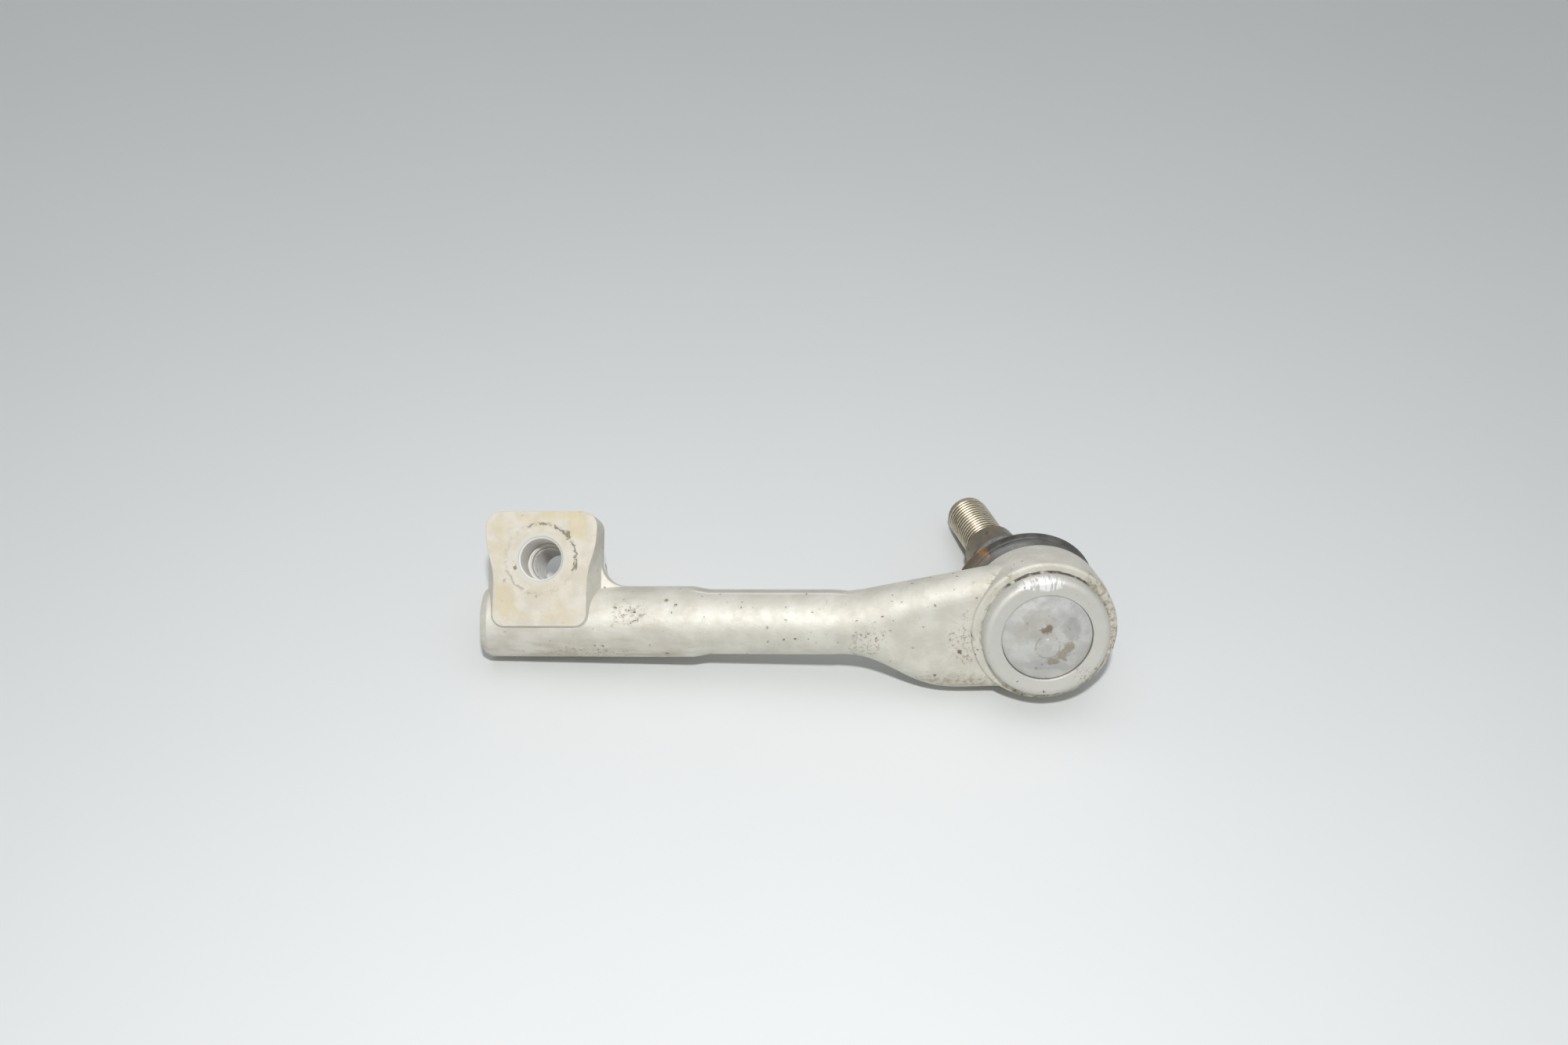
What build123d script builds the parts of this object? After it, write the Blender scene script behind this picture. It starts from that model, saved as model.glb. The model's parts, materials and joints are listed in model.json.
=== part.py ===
from build123d import *
import os
from math import cos, radians, sin, sqrt, tan

# Outer tie rod: a light-alloy forging with a split clamp socket at one end and a ball joint at the other.
# Millimetres. X runs along the rod, from the clamp to the joint, with the origin where the joint's axis
# crosses it. Z points towards the closing plate. The joint, the stud and the clamp lug lean from this
# frame by their own angles. At the end the finished rod is laid on the table as it comes to rest.

# How far a cut or a fillet's body runs past the face it meets, and the margin that keeps a corner round
run_past = 1.0
corner_margin = 0.01

# Rod
rod_reach = 167.4
socket_d = 21.4
socket_length = 63.2
socket_lead = 2.0
socket_lead_depth = 1.0
step_length = 4.9
shank_d = 19.6
shank_end = 62.0
shank_fade = 4.0
shank_fade_depth = 0.3
shank_point = 12.0
shank_point_depth = 3.0

# Threaded socket for the inner rod, drawn at the pitch diameter of M14 x 1.5
inner_thread_d = 13.0
inner_thread_depth = 58.0
drill_angle = 118.0
mouth_chamfer = 0.8

# Neck between the shank and the joint: one side swells earlier than the other
neck_start = 62.0
neck_end = 8.0
neck_sections = 7
neck_near_reach = 20.2
neck_near_from = 58.0
neck_near_to = 27.0
neck_far_reach = 19.2
neck_far_from = 55.0
neck_far_to = 8.0
neck_top = 6.9
neck_floor = 7.2
neck_corner = 6.6
neck_undersize = 0.2

# Clamp lug
lug_roll = 28.0
lug_from_end = 18.2
bolt_from_rod = 17.7
slot_width = 1.7
slot_past_lug = 5.5
face_height = 12.0
face_bottom = 2.5
face_top = 32.0
face_waist = 28.0
face_width = 33.6
waist_from = 9.0
waist_to = 27.0
face_corner = 4.6
foot_corner = 3.6
root_height = 5.0
root_fillet = 7.5
lug_width = 34.3
ear_width = 33.0
ear_corner = 5.5
ear_length = 22.6
ear_boss_d = 25.8
ear_boss_corner = 12.6
ear_round = 3.0
clearance_bore_d = 12.4
bore_chamfer = 0.7
ear_thread_d = 11.0
ear_thread_chamfer = 0.6

# Joint housing, about its own axis
housing_lean = 4.2
housing_d = 44.0
draft_angle = 2.5
collar_top = 7.2
collar_round = 1.0
rim_d = 37.8
rim_shoulder = 9.4
rim_crown = 12.2
rim_crown_d = 33.8
rim_edge = 11.8
rim_opening_d = 27.1
foot_height = 9.0
foot_chamfer = 0.8
spigot_d = 33.6
spigot_height = 13.4
socket_floor = 11.2
floor_opening_d = 23.0
flare_angle = 27.0

# Closing plate
plate_d = 33.0
plate_thickness = 1.8
plate_ledge = 9.1
plate_dome = 1.3
plate_dome_d = 25.6
plate_clearance = 0.05

# Ball stud, about its own axis, measured from the ball's centre
ball_d = 24.0
ball_flat_d = 9.0
ball_drop = 4.0
stud_lean = 13.2
stud_turn = 141.5
neck_d = 13.6
stud_neck_end = 20.0
taper_start = 25.0
taper_end = 44.0
taper_tip_d = 16.9
taper_rate = 10.0
stud_thread_d = 13.0
stud_length = 70.2
tip_chamfer = 1.5

# Bearing seat round the ball
seat_wall = 3.0
seat_opening_angle = 61.0
ball_clearance = 0.05
seat_clearance = 0.05
grease_pocket_d = 7.0

# Dust boot, from its lip on the housing's spigot to its collar on the stud
boot_clearance = 0.3
lip_top = 9.3
lip_wall = 1.6
boot_groove_d = 34.2
boot_groove_height = 15.2
boot_bulge_width = 44.0
boot_bulge_depth = 40.2
boot_bulge_height = 17.5
boot_lift = 2.0
boot_shift = 1.0
boot_fold_d = 31.0
boot_fold_along = 20.5
boot_throat_d = 23.8
boot_throat_along = 25.0
boot_collar_wall = 1.6
boot_collar_from = 28.0
boot_collar_to = 33.0
boot_wall = 1.7

# Flat spring rings that hold the boot, each in a groove of the rubber
ring_thickness = 0.7
ring_edge = 0.2
ring_seat = 0.6
lip_ring_height = 11.5
lip_ring_width = 2.0
collar_ring_along = 30.5
collar_ring_width = 2.0

# Datums: the joint's axis, the ball, the stud and the clamp lug
lean = radians(housing_lean)
joint = Plane(origin=(0, 0, 0), x_dir=(cos(lean), 0, -sin(lean)), z_dir=(sin(lean), 0, cos(lean)))
joint_side = Plane(origin=joint.origin, x_dir=joint.x_dir, z_dir=-joint.y_dir)
joint_axis = Axis(joint.origin, joint.z_dir)

ball = joint.offset(-ball_drop)
swing = radians(stud_lean)
turn = radians(stud_turn)
stud_way = sin(swing) * (cos(turn) * joint.x_dir + sin(turn) * joint.y_dir) - cos(swing) * joint.z_dir
tilt_way = cos(turn) * joint.y_dir - sin(turn) * joint.x_dir
stud = Plane(origin=ball.origin, x_dir=tilt_way, z_dir=stud_way)
stud_side = Plane(origin=stud.origin, x_dir=stud.x_dir, z_dir=-stud.y_dir)
stud_axis = Axis(stud.origin, stud.z_dir)

roll = radians(lug_roll)
bolt_x = lug_from_end - rod_reach
clamp = Plane(origin=(bolt_x, 0, 0), x_dir=(1, 0, 0), z_dir=(0, sin(roll), cos(roll)))
bolt_point = clamp.from_local_coords((0, bolt_from_rod, 0))
bolt_axis = Axis(bolt_point, clamp.z_dir)
bolt_side = Plane(origin=bolt_point, x_dir=clamp.x_dir, z_dir=-clamp.y_dir)


def across(x):
    """Plane square to the rod at x, with Y to its right and Z up."""
    return Plane(origin=(x, 0, 0), x_dir=(0, 1, 0), z_dir=(1, 0, 0))


def ease(start, end, x):
    """Smooth rise from 0 at start to 1 at end."""
    t = min(max((x - start) / (end - start), 0), 1)
    return t * t * (3 - 2 * t)


def blend(start, end, share):
    return start + (end - start) * share


# Sizes that follow from the driving dimensions
socket_end = socket_length - rod_reach
slim_start = socket_end + step_length
shank_r = shank_d / 2
housing_r = housing_d / 2
foot_r = housing_r - foot_height * tan(radians(draft_angle))
collar_r = housing_r - collar_top * tan(radians(draft_angle))
plate_top = plate_ledge + plate_thickness
pocket_r = plate_d / 2 + plate_clearance
ball_r = ball_d / 2
seat_inner_r = ball_r + ball_clearance
bore_r = seat_inner_r + seat_wall
seat_r = bore_r - seat_clearance
ear_bottom = -ear_length
taper_base_d = taper_tip_d + (taper_end - taper_start) / taper_rate

# Forged body
with BuildPart() as forged_body:
    # Far ear: it narrows from the slot to a round boss
    with BuildSketch(clamp.offset(-slot_width / 2)):
        with Locations((0, face_top / 2)):
            RectangleRounded(ear_width, face_top, ear_corner)
    with BuildSketch(clamp.offset(ear_bottom)):
        with Locations((0, bolt_from_rod)):
            RectangleRounded(ear_boss_d, ear_boss_d, ear_boss_corner)
    loft(ruled=True)
    fillet(faces().sort_by(bolt_axis)[0].edges(), ear_round)

    # Clamp socket, step and shank, with a point that dies away inside the neck
    with BuildSketch(Plane.XY):
        with BuildLine():
            Polyline(
                (-rod_reach, 0),
                (-rod_reach, socket_d / 2 - socket_lead_depth),
                (-rod_reach + socket_lead, socket_d / 2),
                (socket_end, socket_d / 2),
                (slim_start, shank_r),
                (-shank_end, shank_r),
                (shank_fade - shank_end, shank_r - shank_fade_depth),
                (shank_point - shank_end, shank_r - shank_point_depth),
                (shank_point - shank_end, 0),
                close=True,
            )
        make_face()
    revolve(axis=Axis.X)

    # Neck that spreads from the round shank to the full width of the joint
    start_r = shank_r - neck_undersize
    for index in range(neck_sections):
        x = blend(-neck_start, -neck_end, index / (neck_sections - 1))
        near = blend(start_r, neck_near_reach, ease(-neck_near_from, -neck_near_to, x))
        far_share = max((x + neck_far_from) / (neck_far_from - neck_far_to), 0)
        far = blend(start_r, neck_far_reach, far_share)
        top = blend(start_r, neck_top, ease(-neck_start, -neck_end, x))
        floor = blend(start_r, neck_floor, ease(-neck_start, -neck_near_to, x))
        corner = blend(start_r - corner_margin, neck_corner, ease(-neck_start, -neck_near_to, x))
        with BuildSketch(across(x)):
            with Locations(((far - near) / 2, (top - floor) / 2)):
                RectangleRounded(far + near, top + floor, min(corner, (top + floor) / 2 - corner_margin))
    loft()

    # Near ear of the clamp: a waisted milled face over a fuller root
    for height, waist, width in (
        (face_height, face_waist, face_width),
        (root_height, lug_width, lug_width),
        (-slot_width / 2, lug_width, lug_width),
    ):
        middle = (waist_from + waist_to) / 2
        with BuildSketch(clamp.offset(height)):
            with BuildLine():
                Line((0, -face_bottom), (waist / 2, -face_bottom))
                Line((waist / 2, -face_bottom), (waist / 2, waist_from))
                Bezier((waist / 2, waist_from), (waist / 2, middle), (width / 2, middle), (width / 2, waist_to))
                Line((width / 2, waist_to), (width / 2, face_top))
                Line((width / 2, face_top), (0, face_top))
                mirror(about=Plane.YZ)
            make_face()
            fillet(vertices().group_by(Axis.Y)[-1], face_corner)
            fillet(vertices().group_by(Axis.Y)[0], foot_corner)
    loft(ruled=True)

    # Fillet of the forging from the lug down to the socket, on the shank's side
    side = bolt_x + lug_width / 2
    socket_r = socket_d / 2
    fillet_in = root_fillet / 2
    with BuildSketch(Plane.XY):
        with BuildLine():
            Polyline((side, socket_r + root_fillet), (side - fillet_in, socket_r + root_fillet))
            Polyline(
                (side - fillet_in, socket_r + root_fillet),
                (side - fillet_in, socket_r - run_past),
                (side + root_fillet, socket_r - run_past),
                (side + root_fillet, socket_r),
            )
            RadiusArc((side + root_fillet, socket_r), (side, socket_r + root_fillet), root_fillet)
        make_face()
    root_ring = revolve(axis=Axis.X, mode=Mode.PRIVATE)
    with BuildSketch(Plane(origin=clamp.origin, x_dir=(1, 0, 0), z_dir=clamp.y_dir)):
        with BuildLine():
            Line((lug_width / 2 - fillet_in, 0), (lug_width / 2 - fillet_in, root_height + fillet_in))
            Polyline(
                (lug_width / 2 - fillet_in, root_height + fillet_in),
                (lug_width / 2, root_height),
                (lug_width / 2 + root_fillet, root_height / 2),
                (lug_width / 2 + root_fillet, 0),
            )
            mirror(about=Plane.XZ)
        make_face()
    root_trim = extrude(amount=face_top, mode=Mode.PRIVATE)
    add(root_ring & root_trim)

    # Joint housing with its rolled rim, drafted both ways from the parting line
    with BuildSketch(joint_side):
        with BuildLine():
            Polyline(
                (rim_opening_d / 2, rim_edge),
                (rim_opening_d / 2, plate_top),
                (0, plate_top),
                (0, -spigot_height),
                (spigot_d / 2, -spigot_height),
                (spigot_d / 2, -foot_height),
                (foot_r - foot_chamfer, -foot_height),
                (foot_r, foot_chamfer - foot_height),
                (housing_r, 0),
                (collar_r, collar_top - collar_round),
            )
            Bezier(
                (collar_r, collar_top - collar_round),
                (collar_r, collar_top),
                (collar_r - collar_round, collar_top),
            )
            Line((collar_r - collar_round, collar_top), (rim_d / 2, collar_top))
            Line((rim_d / 2, collar_top), (rim_d / 2, rim_shoulder))
            Bezier(
                (rim_d / 2, rim_shoulder),
                (rim_d / 2, blend(rim_shoulder, rim_crown, 0.75)),
                (blend(rim_crown_d, rim_d, 0.6) / 2, rim_crown),
                (rim_crown_d / 2, rim_crown),
            )
            Line((rim_crown_d / 2, rim_crown), (rim_opening_d / 2, rim_edge))
        make_face()
    revolve(axis=joint_axis)

    # Bearing bore, pocket for the closing plate and flared mouth for the stud
    flare = tan(radians(flare_angle))
    mouth_end = spigot_height + run_past
    with BuildSketch(joint_side):
        with BuildLine():
            Polyline(
                (0, plate_top),
                (pocket_r, plate_top),
                (pocket_r, plate_ledge),
                (bore_r, plate_ledge),
                (bore_r, -socket_floor),
                (floor_opening_d / 2, -socket_floor),
                (floor_opening_d / 2 + (mouth_end - socket_floor) * flare, -mouth_end),
                (0, -mouth_end),
                close=True,
            )
        make_face()
    revolve(axis=joint_axis, mode=Mode.SUBTRACT)

    # Tapped socket for the inner rod, with its drill point
    inner_r = inner_thread_d / 2
    socket_bottom = inner_thread_depth - rod_reach
    with BuildSketch(Plane.XY):
        with BuildLine():
            Polyline(
                (-rod_reach, 0),
                (-rod_reach, inner_r + mouth_chamfer),
                (mouth_chamfer - rod_reach, inner_r),
                (socket_bottom, inner_r),
                (socket_bottom + inner_r / tan(radians(drill_angle / 2)), 0),
                close=True,
            )
        make_face()
    revolve(axis=Axis.X, mode=Mode.SUBTRACT)

    # Clamp slot, sawn from the end through one wall of the socket
    slot_length = lug_from_end + lug_width / 2 + slot_past_lug
    with BuildSketch(clamp):
        with Locations((-lug_from_end, 0)):
            Rectangle(slot_length, 2 * face_top, align=(Align.MIN, Align.MIN))
    extrude(amount=slot_width / 2, both=True, mode=Mode.SUBTRACT)

    # Clamp bolt: a clear bore in the near ear and a tapped one in the far ear
    slot_wall = slot_width / 2
    bore_r_near = clearance_bore_d / 2
    bore_r_far = ear_thread_d / 2
    with BuildSketch(bolt_side):
        with BuildLine():
            Polyline(
                (0, face_height),
                (bore_r_near + bore_chamfer, face_height),
                (bore_r_near, face_height - bore_chamfer),
                (bore_r_near, -slot_wall),
                (bore_r_far + ear_thread_chamfer, -slot_wall),
                (bore_r_far, -slot_wall - ear_thread_chamfer),
                (bore_r_far, ear_thread_chamfer - ear_length),
                (bore_r_far + ear_thread_chamfer, -ear_length),
                (0, -ear_length),
                close=True,
            )
        make_face()
    revolve(axis=bolt_axis, mode=Mode.SUBTRACT)

# Bearing seat: a plastic cup that grips the ball
with BuildPart() as bearing_seat:
    opening = radians(seat_opening_angle)
    rim_point = (seat_inner_r * sin(opening), -ball_drop - seat_inner_r * cos(opening))
    pocket_point = (grease_pocket_d / 2, sqrt(seat_inner_r**2 - (grease_pocket_d / 2) ** 2) - ball_drop)
    with BuildSketch(joint_side):
        with BuildLine():
            Polyline(
                rim_point,
                (rim_point[0] + (rim_point[1] + socket_floor) * tan(radians(flare_angle)), -socket_floor),
                (seat_r, -socket_floor),
                (seat_r, plate_ledge),
                (grease_pocket_d / 2, plate_ledge),
                pocket_point,
            )
            ThreePointArc(pocket_point, (seat_inner_r, -ball_drop), rim_point)
        make_face()
    revolve(axis=joint_axis)

# Closing plate: a pressed disc with a shallow dome, held under the rolled rim
with BuildPart() as closing_plate:
    dome_r = plate_dome_d / 2
    mid_r = dome_r / 2
    sphere_r = (dome_r**2 + plate_dome**2) / (2 * plate_dome)
    mid_rise = sqrt(sphere_r**2 - mid_r**2) - (sphere_r - plate_dome)
    with BuildSketch(joint_side):
        with BuildLine():
            Line((0, plate_ledge + plate_dome), (0, plate_top + plate_dome))
            ThreePointArc((0, plate_top + plate_dome), (mid_r, plate_top + mid_rise), (dome_r, plate_top))
            Polyline((dome_r, plate_top), (plate_d / 2, plate_top), (plate_d / 2, plate_ledge), (dome_r, plate_ledge))
            ThreePointArc((dome_r, plate_ledge), (mid_r, plate_ledge + mid_rise), (0, plate_ledge + plate_dome))
        make_face()
    revolve(axis=joint_axis)

# Ball stud: ball, neck, taper and threaded end in one turned piece
with BuildPart() as ball_stud:
    neck_r = neck_d / 2
    flat_r = ball_flat_d / 2
    with BuildSketch(stud_side):
        with BuildLine():
            flat_point = (flat_r, -sqrt(ball_r**2 - flat_r**2))
            neck_point = (neck_r, sqrt(ball_r**2 - neck_r**2))
            Line((0, flat_point[1]), flat_point)
            ThreePointArc(flat_point, (ball_r, 0), neck_point)
            Polyline(
                neck_point,
                (neck_r, stud_neck_end),
                (taper_base_d / 2, taper_start),
                (taper_tip_d / 2, taper_end),
                (stud_thread_d / 2, taper_end),
                (stud_thread_d / 2, stud_length - tip_chamfer),
                (stud_thread_d / 2 - tip_chamfer, stud_length),
                (0, stud_length),
                (0, flat_point[1]),
            )
        make_face()
    revolve(axis=stud_axis)


def boot_ring(height, along, share):
    """Plane of one ring of the boot, between the joint's axis (share 0) and the stud's (share 1)."""
    on_joint = joint.from_local_coords((0, 0, -height))
    on_stud = stud.from_local_coords((0, 0, along))
    most = 4 * share * (1 - share)
    pressed = most * (boot_lift * joint.y_dir - boot_shift * joint.x_dir)
    way = share * stud.z_dir - (1 - share) * joint.z_dir
    return Plane(origin=(1 - share) * on_joint + share * on_stud + pressed, x_dir=joint.x_dir, z_dir=way)


# Dust boot: a rubber bellows with one full bulge, leaning with the stud
lip_bore_d = spigot_d + 2 * boot_clearance
lip_d = lip_bore_d + 2 * lip_wall
collar_bore_d = taper_base_d + 2 * boot_clearance
boot_collar_d = collar_bore_d + 2 * boot_collar_wall
bellows_top = spigot_height + boot_clearance
both_walls = 2 * boot_wall
with BuildPart() as dust_boot:
    # Outside: straight lip, bellows and straight collar
    with BuildSketch(joint.offset(-bellows_top)):
        Circle(lip_d / 2)
    extrude(amount=bellows_top - lip_top)
    for height, along, share, width, depth in (
        (bellows_top, 0, 0, lip_d, lip_d),
        (boot_groove_height, boot_groove_height, 0.12, boot_groove_d, boot_groove_d),
        (boot_bulge_height, boot_bulge_height - ball_drop, 0.5, boot_bulge_width, boot_bulge_depth),
        (boot_fold_along + ball_drop, boot_fold_along, 0.85, boot_fold_d, boot_fold_d),
        (0, boot_throat_along, 1, boot_throat_d, boot_throat_d),
        (0, boot_collar_from, 1, boot_collar_d, boot_collar_d),
    ):
        with BuildSketch(boot_ring(height, along, share)):
            Ellipse(width / 2, depth / 2)
    loft()
    with BuildSketch(stud.offset(boot_collar_from)):
        Circle(boot_collar_d / 2)
    extrude(amount=boot_collar_to - boot_collar_from)

    # Inside: clear of the spigot, hollow through the bellows, clear of the stud
    with BuildSketch(joint.offset(-bellows_top)):
        Circle(lip_bore_d / 2)
    extrude(amount=bellows_top - lip_top, mode=Mode.SUBTRACT)
    for height, along, share, width, depth in (
        (bellows_top, 0, 0, lip_bore_d, lip_bore_d),
        (boot_groove_height, boot_groove_height, 0.12, boot_groove_d - both_walls, boot_groove_d - both_walls),
        (
            boot_bulge_height,
            boot_bulge_height - ball_drop,
            0.5,
            boot_bulge_width - both_walls,
            boot_bulge_depth - both_walls,
        ),
        (boot_fold_along + ball_drop, boot_fold_along, 0.85, boot_fold_d - both_walls, boot_fold_d - both_walls),
        (0, boot_throat_along, 1, boot_throat_d - both_walls, boot_throat_d - both_walls),
        (0, boot_collar_from, 1, collar_bore_d, collar_bore_d),
    ):
        with BuildSketch(boot_ring(height, along, share)):
            Ellipse(width / 2, depth / 2)
    loft(mode=Mode.SUBTRACT)
    with BuildSketch(stud.offset(boot_collar_from)):
        Circle(collar_bore_d / 2)
    extrude(amount=boot_collar_to - boot_collar_from, mode=Mode.SUBTRACT)

    # Grooves for the two rings
    lip_groove_width = lip_ring_width + 2 * boot_clearance
    collar_groove_width = collar_ring_width + 2 * boot_clearance
    groove_depth = ring_seat + boot_clearance
    with BuildSketch(joint_side):
        with Locations((lip_d / 2 - groove_depth, -lip_ring_height)):
            Rectangle(2 * groove_depth, lip_groove_width, align=(Align.MIN, Align.CENTER))
    revolve(axis=joint_axis, mode=Mode.SUBTRACT)
    with BuildSketch(stud_side):
        with Locations((boot_collar_d / 2 - groove_depth, collar_ring_along)):
            Rectangle(2 * groove_depth, collar_groove_width, align=(Align.MIN, Align.CENTER))
    revolve(axis=stud_axis, mode=Mode.SUBTRACT)

# Lower ring: it draws the boot's lip onto the housing's spigot
with BuildPart() as boot_lower_ring:
    with BuildSketch(joint_side):
        with Locations((lip_d / 2 - ring_seat, -lip_ring_height)):
            Rectangle(ring_thickness, lip_ring_width, align=(Align.MIN, Align.CENTER))
        chamfer(vertices(), ring_edge)
    revolve(axis=joint_axis)

# Upper ring: it closes the boot's collar round the stud
with BuildPart() as boot_upper_ring:
    with BuildSketch(stud_side):
        with Locations((boot_collar_d / 2 - ring_seat, collar_ring_along)):
            Rectangle(ring_thickness, collar_ring_width, align=(Align.MIN, Align.CENTER))
        chamfer(vertices(), ring_edge)
    revolve(axis=stud_axis)


def lowest(circle, radius, way_up):
    """Lowest point of a circle about a plane's origin."""
    drop = way_up.dot(circle.z_dir) * circle.z_dir - way_up
    return circle.origin + drop.normalized() * radius


# Rest on the table: the far ear, the housing's foot and the stud's tip carry the rod
ear_slope = (bolt_from_rod - ear_boss_d / 2) / (ear_length - slot_width / 2)
ear_r = ear_boss_d / 2 + ear_round * (ear_slope - sqrt(1 + ear_slope**2))
ear_level = clamp.offset(ear_round - ear_length)
ear_edge = ear_level.shift_origin(ear_level.from_local_coords((0, bolt_from_rod, 0)))
foot_edge = joint.offset(foot_chamfer - foot_height)
tip_edge = stud.offset(stud_length - tip_chamfer)
way_up = Vector(0, 1, 0)
for _ in range(40):
    ear_point = lowest(ear_edge, ear_r, way_up) - ear_round * way_up
    foot_point = lowest(foot_edge, foot_r, way_up)
    tip_point = lowest(tip_edge, stud_thread_d / 2, way_up)
    normal = (ear_point - foot_point).cross(tip_point - foot_point).normalized()
    way_up = normal if normal.Y > 0 else -normal
along = Vector(1, 0, 0) - way_up.X * way_up
table = Plane(origin=foot_point, x_dir=along, z_dir=way_up)

pieces = {
    "forged_body": forged_body,
    "closing_plate": closing_plate,
    "bearing_seat": bearing_seat,
    "ball_stud": ball_stud,
    "dust_boot": dust_boot,
    "boot_lower_ring": boot_lower_ring,
    "boot_upper_ring": boot_upper_ring,
}
for piece in pieces.values():
    piece.part.move(table.location.inverse())
box = Compound([piece.part for piece in pieces.values()]).bounding_box()
shift = Location((-box.center().X, -box.center().Y, -box.min.Z))

os.makedirs("parts", exist_ok=True)
for name, piece in pieces.items():
    piece.part.move(shift)
    piece.part.label = name
    export_step(piece.part, f"parts/{name}.step")
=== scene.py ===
import json
import math

import bpy
from mathutils import Matrix, Vector


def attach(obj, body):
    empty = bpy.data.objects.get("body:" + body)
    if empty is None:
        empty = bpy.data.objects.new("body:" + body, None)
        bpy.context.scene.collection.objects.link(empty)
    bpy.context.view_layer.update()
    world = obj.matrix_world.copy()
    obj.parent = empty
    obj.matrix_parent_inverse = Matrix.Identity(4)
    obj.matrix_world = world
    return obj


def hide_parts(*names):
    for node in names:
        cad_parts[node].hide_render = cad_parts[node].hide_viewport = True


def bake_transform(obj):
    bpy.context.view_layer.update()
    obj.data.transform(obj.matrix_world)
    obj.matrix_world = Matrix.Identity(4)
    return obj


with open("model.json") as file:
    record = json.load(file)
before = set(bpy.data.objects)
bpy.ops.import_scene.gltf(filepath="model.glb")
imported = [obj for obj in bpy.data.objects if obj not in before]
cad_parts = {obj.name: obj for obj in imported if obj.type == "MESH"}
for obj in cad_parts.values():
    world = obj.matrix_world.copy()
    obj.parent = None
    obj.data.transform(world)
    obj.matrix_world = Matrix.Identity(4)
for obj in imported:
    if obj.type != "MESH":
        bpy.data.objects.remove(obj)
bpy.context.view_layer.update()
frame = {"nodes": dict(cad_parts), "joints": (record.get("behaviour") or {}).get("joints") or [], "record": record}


# Forged body
# One light-alloy drop forging: clamp socket, step, shank, neck and joint housing in a single piece,
# blasted all over, machined only at the bores and the lug's face. Handling and road dirt have left
# it a dull champagne grey with brown pits, ochre smears and bare bright edges.

MM = 0.001
mounts = {mount["name"]: mount for mount in frame["record"]["mounts"]}
joints = {joint["name"]: joint for joint in frame["joints"]}


def place(origin, x, y, z):
    """Place of a piece's own axes in the model."""
    made = Matrix((x, y, z)).transposed().to_4x4()
    made.translation = origin
    return made


# Rod, joint and clamp bolt, each with its own axes, along which all distances are in millimetres
ball_drop = 4.0
bore_middle = 6.0
rod_way = -Vector(mounts["rod_socket"]["axis"])
joint_way = Vector(joints["swing_direction"]["axis"])
ball_centre = Vector(joints["swing_direction"]["pos_m"])
joint_centre = ball_centre + ball_drop * MM * joint_way
rod_up = (joint_way - rod_way * joint_way.dot(rod_way)).normalized()
rod_place = place(joint_centre, rod_way, rod_up.cross(rod_way), rod_up)
joint_across = (rod_way - joint_way * rod_way.dot(joint_way)).normalized()
joint_place = place(joint_centre, joint_across, joint_way.cross(joint_across), joint_way)
bolt_way = Vector(mounts["clamp_bolt_bore"]["axis"])
bolt_centre = Vector(mounts["clamp_bolt_bore"]["pos_m"]) - bore_middle * MM * bolt_way
bolt_place = place(bolt_centre, rod_way, bolt_way.cross(rod_way), bolt_way)


def add(tree, kind, *inputs, **settings):
    """One shader node. A socket given as an input is linked, a value is set, None is left alone."""
    made = tree.nodes.new("ShaderNode" + kind)
    for name, value in settings.items():
        setattr(made, name, value)
    for slot, value in zip(made.inputs, inputs):
        if isinstance(value, bpy.types.NodeSocket):
            tree.links.new(value, slot)
        elif value is not None:
            slot.default_value = value
    return made


def calc(tree, operation, *values):
    """Result of one math node."""
    return add(tree, "Math", *values, operation=operation).outputs[0]


def product(tree, *factors):
    """Product of several masks or numbers."""
    made = factors[0]
    for factor in factors[1:]:
        made = calc(tree, "MULTIPLY", made, factor)
    return made


def strongest(tree, *masks):
    """Strongest of several masks at each point."""
    made = masks[0]
    for mask in masks[1:]:
        made = calc(tree, "MAXIMUM", made, mask)
    return made


def rise(tree, value, low, high):
    """Mask that goes smoothly from 0 at low to 1 at high, also where high is the lower of the two."""
    made = add(tree, "MapRange", value, min(low, high), max(low, high), interpolation_type="SMOOTHSTEP")
    if high < low:
        made.inputs["To Min"].default_value = 1
        made.inputs["To Max"].default_value = 0
    return made.outputs[0]


def band(tree, value, start, full, full_end, end):
    """Mask that is 1 from full to full_end and fades out to start and to end."""
    return product(tree, rise(tree, value, start, full), rise(tree, value, end, full_end))


def tint(tree, mask, under, over):
    """Colour over, laid on colour under by the mask."""
    made = add(tree, "Mix", data_type="RGBA")
    for slot, value in ((0, mask), (6, under), (7, over)):
        if isinstance(value, bpy.types.NodeSocket):
            tree.links.new(value, made.inputs[slot])
        else:
            made.inputs[slot].default_value = (*value, 1)
    return made.outputs[2]


def layer(tree, under, mask, strength, over):
    """Colour over, laid on colour under by a share of the mask."""
    return tint(tree, product(tree, mask, strength), under, over)


def on_axes(tree, axes):
    """Coordinates in millimetres along a piece's own axes."""
    where = add(tree, "TexCoord").outputs["Object"]
    made = add(tree, "Mapping", where, vector_type="TEXTURE")
    made.inputs["Location"].default_value = axes.translation
    made.inputs["Rotation"].default_value = axes.to_euler()
    made.inputs["Scale"].default_value = (MM, MM, MM)
    return made.outputs[0]


def parts_of(tree, vector):
    """X, Y and Z of a vector or a colour."""
    return add(tree, "SeparateXYZ", vector).outputs


def from_axis(tree, x, y):
    """Distance from a piece's own Z axis."""
    flat = add(tree, "CombineXYZ", x, y, 0).outputs[0]
    return add(tree, "VectorMath", flat, operation="LENGTH").outputs["Value"]


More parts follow.
